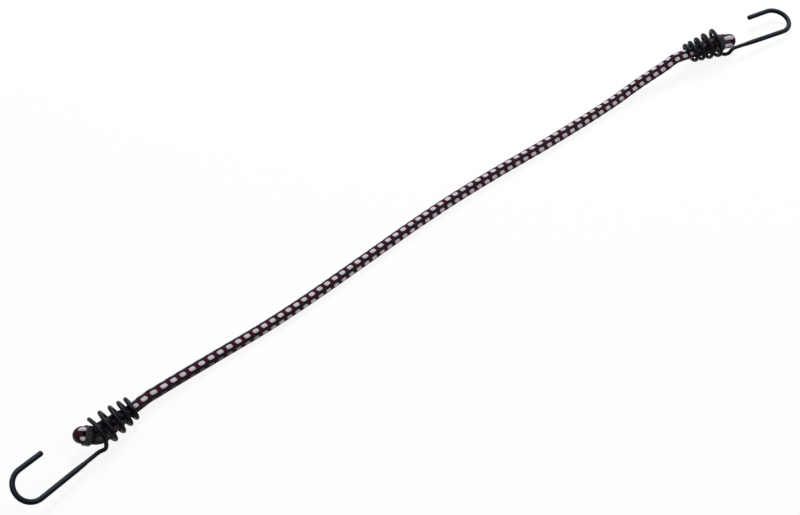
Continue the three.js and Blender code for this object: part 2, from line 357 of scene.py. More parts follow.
class Recipe(Graph):
    """A Geometry Nodes tree with named sizes."""

    def __init__(self, name: str) -> None:
        """Start an empty tree with its geometry input and output.

        Args:
            name: Name of the tree.
        """
        super().__init__(bpy.data.node_groups.new(name, "GeometryNodeTree"))
        self.keys: dict[str, str] = {}
        for way in ("INPUT", "OUTPUT"):
            self.tree.interface.new_socket("Geometry", in_out=way, socket_type="NodeSocketGeometry")
        self.entry = self.tree.nodes.new("NodeGroupInput")
        self.geometry = Field(self, self.entry.outputs["Geometry"])

    def size(self, name: str, kind: str = "NodeSocketFloat") -> Field:
        """Add a named input.

        Args:
            name: Its name.
            kind: Its socket type.

        Returns:
            The input as a value.
        """
        item = self.tree.interface.new_socket(name, in_out="INPUT", socket_type=kind)
        self.keys[name] = item.identifier
        return Field(self, self.socket(self.entry.outputs, item.identifier))

    def count(self, name: str) -> Field:
        """Add a named input for a whole number."""
        return self.size(name, "NodeSocketInt")

    def even_course(self, stations: Value) -> Field:
        """Make an evenly spaced curve of the line that the tree starts from, with its top kept up.

        Args:
            stations: Number of points.

        Returns:
            The curve.
        """
        curve = self.node("GeometryNodeMeshToCurve", None, {"Mesh": self.geometry})
        curve = self.node("GeometryNodeSetCurveNormal", {"mode": "Z_UP"}, {"Curve": curve})
        return self.node("GeometryNodeResampleCurve", None, {"Curve": curve, "Count": stations})

    def circle(self, sides: Value, radius: Value) -> Field:
        """Round profile."""
        return self.node("GeometryNodeCurvePrimitiveCircle", None, {"Resolution": sides, "Radius": radius})

    def kept(self, name: str, curve: Field, measure: str) -> Field:
        """Keep a measure of a curve's points, as the second output."""
        sockets = {0: curve, 1: self.node("GeometryNodeSplineParameter", None, None, measure)}
        return self.node("GeometryNodeCaptureAttribute", {"captures": [("FLOAT", name)]}, sockets)

    def named(self, name: str, kind: str) -> Field:
        """Attribute of the points."""
        return self.node("GeometryNodeInputNamedAttribute", {"data_type": kind}, {"Name": name})

    def above_floor(self, geometry: Field, floor: Value) -> Field:
        """Press flat whatever lies below the floor.

        Args:
            geometry: The shape.
            floor: Height of the floor in metres.

        Returns:
            The pressed shape.
        """
        x, y, z = self.split(self.node("GeometryNodeInputPosition"))
        sockets = {"Geometry": geometry, "Position": self.joined(x, y, z.most(floor))}
        return self.node("GeometryNodeSetPosition", None, sockets)

    def close(self, geometry: Field) -> None:
        """End the tree: smooth faces, real geometry and one finish.

        Args:
            geometry: The shape.
        """
        finish = self.size("Finish", "NodeSocketMaterial")
        rounded = self.node("GeometryNodeSetShadeSmooth", None, {"Geometry": geometry, "Shade Smooth": True})
        real = self.node("GeometryNodeRealizeInstances", None, {"Geometry": rounded})
        dressed = self.node("GeometryNodeSetMaterial", None, {"Geometry": real, "Material": finish})
        self.end("NodeGroupOutput", "Geometry", dressed)

    def make(
        self, source: bpy.types.Object, sizes: Mapping[str, object], wall: float = 0.0
    ) -> bpy.types.Object:
        """Run the tree on an object and keep the result as a plain mesh.

        Args:
            source: Object that the tree starts from. It is used up.
            sizes: Values of the named inputs.
            wall: Wall thickness in metres that a thin tube gets on its inside.

        Returns:
            The finished object, with the source's name.
        """
        modifier = source.modifiers.new("recipe", "NODES")
        modifier.node_group = self.tree
        for name, value in sizes.items():
            modifier[self.keys[name]] = value
        if wall > 0:
            inside = source.modifiers.new("wall", "SOLIDIFY")
            inside.thickness = wall
            inside.offset = -1.0
        depsgraph = bpy.context.evaluated_depsgraph_get()
        mesh = bpy.data.meshes.new_from_object(
            source.evaluated_get(depsgraph), preserve_all_data_layers=True, depsgraph=depsgraph
        )
        name = source.name
        bpy.data.objects.remove(source)
        return placed_object(name, mesh)


# Meshes


def placed_object(name: str, mesh: bpy.types.Mesh) -> bpy.types.Object:
    """Put a mesh in the scene.

    Args:
        name: Name of the object and of its mesh.
        mesh: The mesh.

    Returns:
        The object.
    """
    mesh.name = name
    made = bpy.data.objects.new(name, mesh)
    bpy.context.scene.collection.objects.link(made)
    return made


def line_object(name: str, points: np.ndarray, swell: Optional[np.ndarray] = None) -> bpy.types.Object:
    """Make a line of edges for a tree to sweep along.

    Args:
        name: Object name.
        points: Rows of points in millimetres.
        swell: Relative thickness at each point.

    Returns:
        The object.
    """
    mesh = bpy.data.meshes.new(name)
    mesh.from_pydata((points * MM).tolist(), [(i, i + 1) for i in range(len(points) - 1)], [])
    if swell is not None:
        mesh.attributes.new("swell", "FLOAT", "POINT").data.foreach_set("value", swell.astype(np.float32))
    return placed_object(name, mesh)


def lofted_object(name: str, rings: np.ndarray, weave: Optional[np.ndarray] = None) -> bpy.types.Object:
    """Make a closed body from rings with equal numbers of points.

    Args:
        name: Object name.
        rings: Points in millimetres, as rings by points by three.
        weave: Place in the weave of each point, in the same layout.

    Returns:
        The object, with its faces pointing out.
    """
    count, sides = rings.shape[:2]
    points = rings.reshape(-1, 3) * MM
    low = np.arange(count - 1)[:, None] * sides + np.arange(sides)
    beside = low - np.arange(sides) + (np.arange(sides) + 1) % sides
    quads = np.stack([low, beside, beside + sides, low + sides], axis=-1).reshape(-1, 4)
    corners = points[quads]
    volume = np.einsum("ij,ij->", corners[:, 0], np.cross(corners[:, 1], corners[:, 2]))
    volume += np.einsum("ij,ij->", corners[:, 0], np.cross(corners[:, 2], corners[:, 3]))
    faces = quads.tolist()
    faces += [list(range(sides - 1, -1, -1)), list(range(len(points) - sides, len(points)))]
    if volume < 0:
        faces = [face[::-1] for face in faces]
    mesh = bpy.data.meshes.new(name)
    mesh.from_pydata(points.tolist(), [], faces)
    if weave is not None:
        layer = mesh.attributes.new("weave", "FLOAT_VECTOR", "POINT")
        layer.data.foreach_set("vector", weave.reshape(-1).astype(np.float32))
    mesh.shade_smooth()
    return placed_object(name, mesh)


def ring_points(
    centre: np.ndarray, normal: np.ndarray, binormal: np.ndarray, radius: np.ndarray, sides: int
) -> np.ndarray:
    """Round rings of points about a line.

    Args:
        centre: Rows of middle points.
        normal: Rows of first directions across the line.
        binormal: Rows of second directions across the line.
        radius: Radius of each ring.
        sides: Points in a ring.

    Returns:
        Points as rings by sides by three.
    """
    angle = ring_angles(sides)
    first = radius[:, None, None] * normal[:, None] * np.cos(angle)[None, :, None]
    second = radius[:, None, None] * binormal[:, None] * np.sin(angle)[None, :, None]
    return centre[:, None] + first + second


def carried_frames(points: np.ndarray, normal: np.ndarray) -> tuple[np.ndarray, np.ndarray, np.ndarray]:
    """Directions along and across a line, carried without twist.

    Args:
        points: Rows of points.
        normal: First direction across the line.

    Returns:
        Tangents, normals and binormals.
    """
    tangents = unit(np.gradient(points, axis=0))
    normals = []
    for tangent in tangents:
        normal = unit(normal - np.dot(normal, tangent) * tangent)
        normals.append(normal)
    across = np.array(normals)
    return tangents, across, np.cross(tangents, across)


def add_piece(piece: bpy.types.Object, body: Optional[Body], nodes: Sequence[str]) -> None:
    """Fix a finished piece to its body and hide the CAD nodes that it stands for.

    Args:
        piece: The finished object.
        body: Body that it rides on, or None to leave it unattached.
        nodes: CAD nodes that it stands for.
    """
    if body is not None:
        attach(piece, body.value)
    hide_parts(*nodes)
    log.info("%s: %d faces for %s", piece.name, len(piece.data.polygons), ", ".join(nodes))


# Finishes


@dataclass(frozen=True)
class WovenPattern:
    """Rows of floats between turns of a binding yarn, as masks for the mesh and for the colour.

    The rows wind round the cord by start_lean, lean_fall and lean_rise, in degrees. The drift, as waves over
    the length, their strength and their start in degrees, spaces the rings as unevenly as the real cord's.
    """

    rows: int = 5
    pale_share: float = 0.56
    float_share: float = 0.59
    dark_float_share: float = 1.0
    float_slant: float = 0.35
    period: float = 7.098
    ring_phase: float = -0.785
    length: float = 503.0
    drift: tuple[tuple[int, float, float], ...] = ((1, 0.222, -108.0), (2, 0.113, 105.5), (3, 0.131, 106.1))
    grip_shift: float = 0.3
    grip_fade: Range = (-5.0, 31.0)
    start_lean: float = 26.0
    lean_fall: float = -0.112
    lean_rise: float = 0.00004
    squareness: int = 4
    pale_edge: Range = (0.7, 1.2)
    dark_edge: Range = (0.7, 1.3)
    pale_rounding: Range = (0.4, 0.6)
    dark_rounding: Range = (0.5, 0.5)
    pale_height: Range = (0.07, 0.25)
    dark_height: Range = (0.02, 0.1)

    def places(self, weave: Field) -> tuple[Field, Field, Field]:
        """Place in the weave's rows and rings.

        Args:
            weave: Length along the cord in millimetres, cosine and sine of the angle from the top.

        Returns:
            Place across a row and along a float, from 0 to 1 each, and the count of floats along.
        """
        along, cosine, sine = weave.graph.split(weave)
        turn = weave.graph.math("ARCTAN2", sine, cosine) / FULL_TURN
        lean = ((along * self.lean_rise + self.lean_fall) * along + self.start_lean) / 360
        row = ((turn - lean) * self.rows + 0.5).fraction()
        count = along / self.period + turn + self.ring_phase - (row - 0.5) * self.float_slant
        for waves, strength, start in self.drift:
            swing = (along * (FULL_TURN * waves / self.length) + math.radians(start)).sine()
            count = count + swing * strength
        count = count + (1 - along.ramp(*self.grip_fade)) * self.grip_shift
        return row, count.fraction(), count.steps()

    def float_mask(self, across: Field, along: Field, edge: Range, rounding: Range) -> tuple[Field, Field]:
        """Where one kind of float lies.

        Args:
            across: Distance across from the float's middle, 1 at its side.
            along: Distance along from its middle, 1 at its end.
            edge: Where the mask starts and ends to fall off.
            rounding: Fall of its back towards the sides and towards the ends.

        Returns:
            Its mask and its rounding.
        """
        mask = 1 - (across ** self.squareness + along ** self.squareness).ramp(*edge)
        back = 1 - across * across * rounding[0] - along * along * rounding[1]
        return mask, back.most(0.0)

    def masks(self, row: Field, ring: Field) -> tuple[Field, Field, Field, Field]:
        """Where the pale and the dark floats lie, and how they are rounded.

        Args:
            row: Place across a row.
            ring: Place along a float.

        Returns:
            Mask and rounding of the pale floats, then of the dark ones.
        """
        from_middle = abs(row - 0.5)
        along = abs(ring - 0.5) * 2
        pale_across = from_middle * (2 / self.pale_share)
        dark_across = (0.5 - from_middle) * (2 / (1 - self.pale_share))
        pale = self.float_mask(pale_across, along / self.float_share, self.pale_edge, self.pale_rounding)
        dark = self.float_mask(dark_across, along / self.dark_float_share, self.dark_edge, self.dark_rounding)
        return (*pale, *dark)

    def raised(self, recipe: Recipe, geometry: Field) -> Field:
        """Raise the floats of a woven face along its normals.

        Args:
            recipe: Tree to add to.
            geometry: The face, with its place in the weave as an attribute.

        Returns:
            The raised face.
        """
        row, ring, _ = self.places(recipe.named("weave", "FLOAT_VECTOR"))
        pale, pale_round, dark, dark_round = self.masks(row, ring)
        relief = pale * pale_round.spread(*self.pale_height) + dark * dark_round.spread(*self.dark_height)
        sockets = {0: recipe.node("GeometryNodeInputNormal"), "Scale": relief * MM}
        offset = recipe.node("ShaderNodeVectorMath", {"operation": "SCALE"}, sockets)
        return recipe.node("GeometryNodeSetPosition", None, {"Geometry": geometry, "Offset": offset})


class Finish:
    """Makes one material from nodes."""

    name: str

    def paint(self, graph: Graph) -> Mapping[Key, object]:
        """Values and links of the shader's sockets."""
        raise NotImplementedError

    def shader(self, graph: Graph) -> Field:
        """Shader of the material."""
        return graph.node("ShaderNodeBsdfPrincipled", None, self.paint(graph))

    def make(self) -> bpy.types.Material:
        """Build the material.

        Returns:
            The material.
        """
        material = bpy.data.materials.new(self.name)
        graph = Graph.emptied(material)
        graph.end("ShaderNodeOutputMaterial", "Surface", self.shader(graph))
        return material


@dataclass(frozen=True)
class WovenFinish(Finish):
    """Polyester sleeve: pale and dark floats bound by a wine-red yarn, with painted shade inside the spirals.

    A stub's four lengths run out from its mouth in millimetres: its painted shade starts to clear at the
    first, is gone from the second to the third, and the stub ends at the last. The painted shade on the
    underside runs along the cord from the near mouth and fades over its given lengths.
    """

    pattern: WovenPattern
    name: str = "woven sleeve"
    pale: Colour = srgb(203, 196, 203)
    pale_shade: Colour = srgb(154, 144, 156)
    dark: Colour = srgb(16, 14, 20)
    dark_lit: Colour = srgb(36, 31, 40)
    wine: Colour = srgb(66, 11, 31)
    wine_shade: Colour = srgb(36, 6, 19)
    pale_in_shade: Colour = srgb(60, 40, 46)
    pale_in_shade_share: float = 0.8
    painted_shade_colour: Colour = srgb(10, 8, 10)
    painted_shade_share: float = 0.62
    spiral_shade_start: Range = (-1.0, 5.0)
    near_stub: tuple[float, float, float, float] = (38.5, 41.0, 50.5, 53.0)
    far_stub: tuple[float, float, float, float] = (33.0, 35.0, 50.0, 52.0)
    underside_shade_side: Range = (0.15, 0.55)
    underside_shade_length: Range = (40.0, 130.0)
    underside_shade_share: float = 0.95
    tucked_fall: Range = (0.1, 0.7)
    yarns_in_row: int = 6
    wine_yarn_width: float = 0.62
    spot_girth: float = 4.0
    fuzz_scale: float = 5.0
    patch_scale: float = 0.5
    pale_light: Range = (0.05, 0.75)
    wine_light: Range = (0.1, 0.8)
    yarn_depth: float = 0.00012
    yarn_strength: float = 0.8

    def inside_spiral(self, along: Field) -> Field:
        """Where shade is painted: 1 where a spiral grips the sleeve, on both legs of the fold, and 0 on the
        cord and the stubs.

        Args:
            along: Length along the cord in millimetres.

        Returns:
            The mask.
        """
        near, far = along * -1, along - self.pattern.length
        near_stub = near.ramp(*self.near_stub[:2]) - near.ramp(*self.near_stub[2:])
        far_stub = far.ramp(*self.far_stub[:2]) - far.ramp(*self.far_stub[2:])
        return near.most(far).ramp(*self.spiral_shade_start) * (1 - near_stub - far_stub)

    def shaded_underside(self, along: Field, cosine: Field) -> Field:
        """Lower side of the sleeve near the first spiral, where shade is painted.

        Args:
            along: Length along the cord in millimetres.
            cosine: Cosine of the angle from the top.

        Returns:
            The mask.
        """
        below, close = 1 - cosine.ramp(*self.underside_shade_side), 1 - along.ramp(*self.underside_shade_length)
        return below * close * self.underside_shade_share

    @staticmethod
    def yarn(place: Field) -> Field:
        """Rounded backs of yarns that lie side by side, one for each whole number."""
        from_middle = place.fraction() - 0.5
        return 1 - from_middle * from_middle * 4

    def paint(self, graph: Graph) -> Mapping[Key, object]:
        """Colour, roughness and yarn relief from the place in the weave.

        Args:
            graph: The material's tree.

        Returns:
            Values and links of the shader's sockets.
        """
        weave = graph.node("ShaderNodeAttribute", {"attribute_name": "weave"}, None, "Vector")
        row, ring, count = self.pattern.places(weave)
        pale, pale_round, dark, _ = self.pattern.masks(row, ring)
        along, cosine, sine = graph.split(weave)
        lengthwise = self.yarn(row * self.yarns_in_row)
        round_about = self.yarn(along / self.wine_yarn_width + row * 0.5)
        spot = graph.joined(along, cosine * self.spot_girth, sine * self.spot_girth)
        fuzz = graph.noise(spot, self.fuzz_scale, 3.0)
        patch = graph.noise(spot, self.patch_scale, 1.0)
        each = graph.node("ShaderNodeTexWhiteNoise", {"noise_dimensions": "1D"}, {"W": count}, "Value")
        # The cosine and sine are short where the fold's face is tucked in between its legs. Shade is painted
        # there, inside the spirals and on the underside near the near mouth.
        tucked = (1 - cosine * cosine - sine * sine).ramp(*self.tucked_fall)
        painted_shade = self.inside_spiral(along).most(self.shaded_underside(along, cosine)).most(tucked)
        # Painted light and shade: the rounded backs of the floats and yarns lighten their middles and darken
        # their edges, while the noises vary the tone at random.
        light = fuzz * 0.5 + lengthwise * 0.35 + pale_round * 0.35 + each * 0.12 - 0.3
        pale_colour = graph.blended(light.ramp(*self.pale_light), self.pale_shade, self.pale)
        # Painted shade: the pale floats dim to a wine-grey where the shade mask is set.
        pale_colour = graph.blended(painted_shade * self.pale_in_shade_share, pale_colour, self.pale_in_shade)
        dark_colour = graph.blended(fuzz * lengthwise, self.dark, self.dark_lit)
        light = round_about * 0.6 + fuzz * 0.4 + patch * 0.3 - 0.2
        wine_colour = graph.blended(light.ramp(*self.wine_light), self.wine_shade, self.wine)
        colour = graph.blended(pale, graph.blended(dark, wine_colour, dark_colour), pale_colour)
        floats = pale.most(dark)
        yarns = lengthwise * floats + round_about * (1 - floats)
        return {
            # Painted shade: the whole sleeve darkens where the shade mask is set.
            "Base Color": graph.blended(painted_shade * self.painted_shade_share, colour, self.painted_shade_colour),
            "Roughness": 1 - pale * 0.15 - fuzz * 0.1,
            "Sheen Weight": 0.05,
            "Sheen Roughness": 0.5,
            "Specular IOR Level": 0.12,
            "Normal": graph.bump(yarns * 0.6 + fuzz * 0.4, self.yarn_depth, self.yarn_strength),
        }


@dataclass(frozen=True)
class RubberFinish(Finish):
    """Natural rubber thread with a dusting of talc."""

    name: str = "rubber core"
    rubber: Colour = srgb(176, 158, 122)
    talc: Colour = srgb(214, 206, 188)
    dust_scale: float = 900.0
    dust_rise: Range = (0.35, 0.75)
    roughness: Range = (0.6, 0.9)
    dust_depth: float = 0.00005
    dust_strength: float = 0.5

    def paint(self, graph: Graph) -> Mapping[Key, object]:
        """Talc in patches over the rubber.

        Args:
            graph: The material's tree.

        Returns:
            Values and links of the shader's sockets.
        """
        mottle = graph.noise(graph.place(), self.dust_scale, 3.0)
        return {
            "Base Color": graph.blended(mottle.ramp(*self.dust_rise), self.rubber, self.talc),
            "Roughness": mottle.spread(*self.roughness),
            "Normal": graph.bump(mottle, self.dust_depth, self.dust_strength),
        }


@dataclass(frozen=True)
class BlackFinish(Finish):
    """Black coat, worn in patches and finely grained, with a painted highlight on its upper side.

    Patch and grain are the scale and the detail of their noise.
    """

    name: str
    black: Colour
    worn: Colour
    top_highlight: Colour
    sheen: Colour
    patch: Range
    grain: Range
    wear: Range
    mottle: Range
    patch_share: float
    roughness: Range
    grain_depth: float
    grain_strength: float
    top_highlight_rise: Range = (0.72, 1.02)
    gloss: float = 0.06

    def paint(self, graph: Graph) -> Mapping[Key, object]:
        """Worn coat and the painted highlight on its upper faces.

        Args:
            graph: The material's tree.

        Returns:
            Values and links of the shader's sockets.
        """
        place = graph.place()
        patch = graph.noise(place, *self.patch)
        grain = graph.noise(place, *self.grain)
        coat = graph.blended(patch.ramp(*self.wear), self.black, self.worn)
        # Painted highlight: faces that look up are lightened towards the upper-side colour, more in some
        # patches than in others.
        top_highlight = graph.upward().ramp(*self.top_highlight_rise) * patch.spread(*self.mottle)
        rough = patch * self.patch_share + grain * (1 - self.patch_share)
        return {
            "Base Color": graph.blended(top_highlight, coat, self.top_highlight),
            "Roughness": rough.spread(*self.roughness),
            "Specular IOR Level": self.gloss,
            "Specular Tint": self.sheen,
            "Normal": graph.bump(grain, self.grain_depth, self.grain_strength),
        }


# The lighter upper-side colour of both black finishes is a painted highlight.
WIRE_FINISH = BlackFinish(
    name="black wire", black=srgb(10, 12, 15), worn=srgb(18, 22, 27), top_highlight=srgb(62, 70, 79),
    sheen=srgb(214, 234, 255), patch=(160.0, 3.0), grain=(2600.0, 2.0), wear=(0.4, 0.75), mottle=(0.15, 0.65),
    patch_share=0.5, roughness=(0.28, 0.46), grain_depth=0.00003, grain_strength=0.35,
)
DIP_FINISH = BlackFinish(
    name="vinyl dip", black=srgb(10, 12, 16), worn=srgb(18, 22, 28), top_highlight=srgb(62, 69, 80),
    sheen=srgb(206, 226, 255), patch=(120.0, 2.0), grain=(1100.0, 1.0), wear=(0.35, 0.8), mottle=(0.3, 0.85),
    patch_share=0.6, roughness=(0.36, 0.52), grain_depth=0.00008, grain_strength=0.4,
)


@dataclass(frozen=True)
class ClipFinish(Finish):
    """Bare crimped steel, brushed by the rolls, dull in places."""

    name: str = "clip steel"
    bright: Colour = srgb(54, 53, 57)
    dull: Colour = srgb(25, 24, 27)
    line_stretch: float = 6.0
    line_scale: float = 1400.0
    dull_scale: float = 420.0
    dull_rise: Range = (0.3, 0.7)
    roughness: Range = (0.36, 0.58)
    line_depth: float = 0.00003
    line_strength: float = 0.5

    def paint(self, graph: Graph) -> Mapping[Key, object]:
        """Rolling lines and dull patches.

        Args:
            graph: The material's tree.

        Returns:
            Values and links of the shader's sockets.
        """
        place = graph.place()
        x, y, z = graph.split(place)
        lines = graph.noise(graph.joined(x * self.line_stretch, y, z), self.line_scale, 2.0)
        dull = graph.noise(place, self.dull_scale, 3.0)
        bright = (dull * 0.6 + lines * 0.4).ramp(*self.dull_rise)
        return {
            "Base Color": graph.blended(bright, self.dull, self.bright),
            "Metallic": 1.0,
            "Roughness": (dull * 0.5 + lines * 0.5).spread(*self.roughness),
            "Normal": graph.bump(lines, self.line_depth, self.line_strength),
        }


@dataclass(frozen=True)
class FloorFinish(Finish):
    """Plain white floor that keeps a soft shadow."""

    name: str = "white floor"
    white: Colour = (0.8, 0.8, 0.8, 1.0)
    glow: float = 0.9

    def shader(self, graph: Graph) -> Field:
        """Matt white that mostly glows where it is seen.

        Args:
            graph: The material's tree.

        Returns:
            The shader.
        """
        matt = graph.node("ShaderNodeBsdfDiffuse", None, {"Color": self.white})
        glow = graph.node("ShaderNodeEmission", None, {"Color": WHITE, "Strength": 1.0})
        share = graph.seen_directly() * self.glow
        return graph.node("ShaderNodeMixShader", None, {0: share, 1: matt, 2: glow})


# The cord and its ends


@dataclass(frozen=True)
class CordEnd:
    """One end of the cord, in the axes of the spiral's mouth: out along it, level and up.

    Angles are in degrees. The stub is the part of the fold that stands out of the spiral, and clip and
    bend_from are lengths from the mouth. The two legs lie apart at the angle fold, and the stub bends over
    at the angle bend_to. Slip, twist and stretch fit the weave on the fold, and the tuck's depth says how
    much shade is painted between the legs. The spiral's turns lean along it by two slopes, and stand out on
    the side away from the shank.
    """

    side: Side
    cord_body: Body
    hook_body: Body
    mouth: Point
    heading: float
    pitch: float
    roll: float
    stub: float
    clip: float
    bend_from: float
    fold: float
    bend_to: float
    bend: float
    slip: float
    twist: float
    stretch: float
    crease_shade: float
    lean: Range
    stand: float
    bend_radius: float = 12.0

    def axes(self) -> np.ndarray:
        """Directions of the mouth's three axes.

        Returns:
            The directions as rows.
        """
        heading, pitch = math.radians(self.heading), math.radians(self.pitch)
        flat = math.cos(pitch)
        out = np.array([math.cos(heading) * flat, math.sin(heading) * flat, math.sin(pitch)])
        level = np.array([-math.sin(heading), math.cos(heading), 0.0])
        return np.array([out, level, np.cross(out, level)])

    def placed(self, points: np.ndarray) -> np.ndarray:
        """Bring points in the mouth's axes into the shared frame."""
        return np.array(self.mouth) + points @ self.axes()

    def rolled(self, points: np.ndarray) -> np.ndarray:
        """Bring points of the hook, which is rolled about the mouth's axis, into the shared frame."""
        return self.placed(turned(points, OUT, math.radians(self.roll)))

    def stub_frames(self, along: np.ndarray) -> tuple[np.ndarray, np.ndarray, np.ndarray, np.ndarray]:
        """Middle line of the folded end: straight, then bent over to one side.

        Args:
            along: Distances from the mouth.

        Returns:
            Points, tangents, normals and binormals in the mouth's axes.
        """
        radius = self.bend_radius
        toward, fold = math.radians(self.bend_to), math.radians(self.fold)
        side = np.array([0.0, math.cos(toward), math.sin(toward)])
        axis = np.cross(OUT, side)
        arc = np.clip(along - self.bend_from, 0.0, radius * math.radians(self.bend))
        angle = arc / radius
        ones = np.ones((len(along), 1))
        tangent = turned(ones * OUT, axis, angle)
        normal = turned(ones * [0.0, math.cos(fold), math.sin(fold)], axis, angle)
        straight = along - arc
        before = np.minimum(straight, self.bend_from)
        point = (before + radius * np.sin(angle))[:, None] * OUT
        point = point + (radius * (1 - np.cos(angle)))[:, None] * side
        point = point + (straight - before)[:, None] * tangent
        return point, tangent, normal, np.cross(tangent, normal)


NEAR_END = CordEnd(
    side=Side.NEAR, cord_body=Body.CORD, hook_body=Body.NEAR_HOOK,
    mouth=(-250.64, 8.65, 7.562314), heading=189.1, pitch=5.1, roll=-31.9,
    stub=14.0, clip=37.8, bend_from=28.2, fold=143.0, bend_to=149.0, bend=44.0,
    slip=3.9, twist=64.0, stretch=0.3, crease_shade=0.6, lean=(-0.1, 0.35), stand=0.125,
)
FAR_END = CordEnd(
    side=Side.FAR, cord_body=Body.FAR_END, hook_body=Body.FAR_HOOK,
    mouth=(250.46, 9.4, 12.996686), heading=-9.6, pitch=-4.25, roll=188.3,
    stub=11.0, clip=28.8, bend_from=32.0, fold=57.0, bend_to=-90.0, bend=18.0,
    slip=3.4, twist=72.0, stretch=0.55, crease_shade=0.0, lean=(0.0, 0.3), stand=0.1,
)

# Where the cord lies between the spirals, with its height off the floor.
ROUTE: tuple[Point, ...] = (
    (-232, 10.7, 2.2), (-213, 11.4, 0.6), (-188, 11, 0), (-145, 9.7, 0), (-105, 10.6, 0), (-60, 13.1, 0),
    (-15, 15.7, 0), (25, 16.9, 0), (65, 16.4, 0), (110, 14.8, 0), (150, 14.3, 0), (180, 14.4, 0.7),
    (205, 13.8, 4.2), (228, 11.8, 8.2),
)


@dataclass
class ElasticCord:
    """The round cord between the two spirals: woven sleeve and rubber threads."""

    diameter: float = 8.0
    rest_height: float = 3.8637
    reach: float = 6.0
    reach_steps: int = 7
    lead_in: float = 12.0
    step: float = 2.0
    least_steps: int = 4
    base_radius: float = 3.86
    wall: float = 0.4
    sides: int = 40
    rings: int = 840
    thread_radius: float = 0.43
    thread_pitch: float = 0.94
    thread_layers: int = 3
    threads_in_layer: int = 6
    thread_sides: int = 8
    thread_stations: int = 120
    solid_threads: int = 13

    def course(self) -> np.ndarray:
        """Centre line from inside one spiral to inside the other.

        Returns:
            Rows of points about one step apart.
        """
        before_mouth = np.array([[-self.lead_in, 0.0, 0.0]])
        through = [np.array(NEAR_END.mouth), NEAR_END.placed(before_mouth)[0]]
        through += [np.array([x, y, under + self.rest_height]) for x, y, under in ROUTE]
        through += [FAR_END.placed(before_mouth)[0], np.array(FAR_END.mouth)]
        middle = self.spline(np.array(through))
        middle[:, 2] = np.maximum(middle[:, 2], self.rest_height)
        inside = np.linspace(self.reach, 0.0, self.reach_steps, endpoint=False)[:, None] * OUT
        return np.concatenate([NEAR_END.placed(inside), middle, FAR_END.placed(inside[::-1])])

    def spline(self, through: np.ndarray) -> np.ndarray:
        """Smooth line through points, spaced for the distances between them.

        Args:
            through: Rows of points.

        Returns:
            Rows of points about one step apart.
        """
        ghosts = [2 * through[0] - through[1], 2 * through[-1] - through[-2]]
        held = np.concatenate([[ghosts[0]], through, [ghosts[1]]])
        found = []
        for i in range(1, len(held) - 2):
            p0, p1, p2, p3 = held[i - 1:i + 3]
            gaps = [math.sqrt(np.linalg.norm(b - a)) for a, b in ((p0, p1), (p1, p2), (p2, p3))]
            leave = ((p1 - p0) / gaps[0] - (p2 - p0) / (gaps[0] + gaps[1]) + (p2 - p1) / gaps[1]) * gaps[1]
            arrive = ((p2 - p1) / gaps[1] - (p3 - p1) / (gaps[1] + gaps[2]) + (p3 - p2) / gaps[2]) * gaps[1]
            count = max(self.least_steps, round(np.linalg.norm(p2 - p1) / self.step))
            t = np.arange(count)[:, None] / count
            cubic = (2 * t**3 - 3 * t**2 + 1) * p1 + (t**3 - 2 * t**2 + t) * leave
            found.append(cubic + (3 * t**2 - 2 * t**3) * p2 + (t**3 - t**2) * arrive)
        return np.concatenate([*found, through[-1:]])

    def length(self) -> float:
        """Length of the centre line, in millimetres."""
        return float(step_lengths(self.course()).sum())

    def shown_length(self) -> float:
        """Length of cord between the two mouths, in millimetres."""
        return self.length() - 2 * self.reach

    def sleeve_recipe(self, pattern: WovenPattern) -> Recipe:
        """Tree that sweeps the sleeve along the course and raises its floats.

        Args:
            pattern: The weave.

        Returns:
            The tree.
        """
        recipe = Recipe("woven sleeve")
        radius, start = recipe.size("Radius"), recipe.size("Start")
        rings, sides = recipe.count("Rings"), recipe.count("Sides")
        along = recipe.kept("along", recipe.even_course(rings), "Length")
        turn = recipe.kept("turn", recipe.circle(sides, radius), "Factor")
        tube = recipe.node("GeometryNodeCurveToMesh", None, {"Curve": along, "Profile Curve": turn})
        angle = turn.output(1) * FULL_TURN + math.pi / 2
        weave = recipe.joined((along.output(1) - start) / MM, recipe.math("COSINE", angle), angle.sine())
        tube = recipe.node(
            "GeometryNodeStoreNamedAttribute", {"data_type": "FLOAT_VECTOR", "domain": "POINT"},
            {"Geometry": tube, "Name": "weave", "Value": weave},
        )
        recipe.close(recipe.above_floor(pattern.raised(recipe, tube), 0.0))
        return recipe

    def thread_recipe(self) -> Recipe:
        """Tree that sweeps a bundle of round threads along the course.

        Returns:
            The tree.
        """
        recipe = Recipe("rubber threads")
        radius, pitch, stations = recipe.size("Thread radius"), recipe.size("Pitch"), recipe.count("Stations")
        seats = [recipe.node("GeometryNodeMeshLine", None, {"Count": 1})]
        for layer in range(1, self.thread_layers + 1):
            sockets = {"Vertices": self.threads_in_layer * layer, "Radius": pitch * layer}
            seats.append(recipe.node("GeometryNodeMeshCircle", None, sockets))
        places = recipe.node("GeometryNodeJoinGeometry", None, {"Geometry": seats})
        sockets = {"Points": places, "Instance": recipe.circle(self.thread_sides, radius)}
        bundle = recipe.node("GeometryNodeInstanceOnPoints", None, sockets)
        bundle = recipe.node("GeometryNodeRealizeInstances", None, {"Geometry": bundle})
        sockets = {"Curve": recipe.even_course(stations), "Profile Curve": bundle, "Fill Caps": True}
        recipe.close(recipe.node("GeometryNodeCurveToMesh", None, sockets))
        return recipe

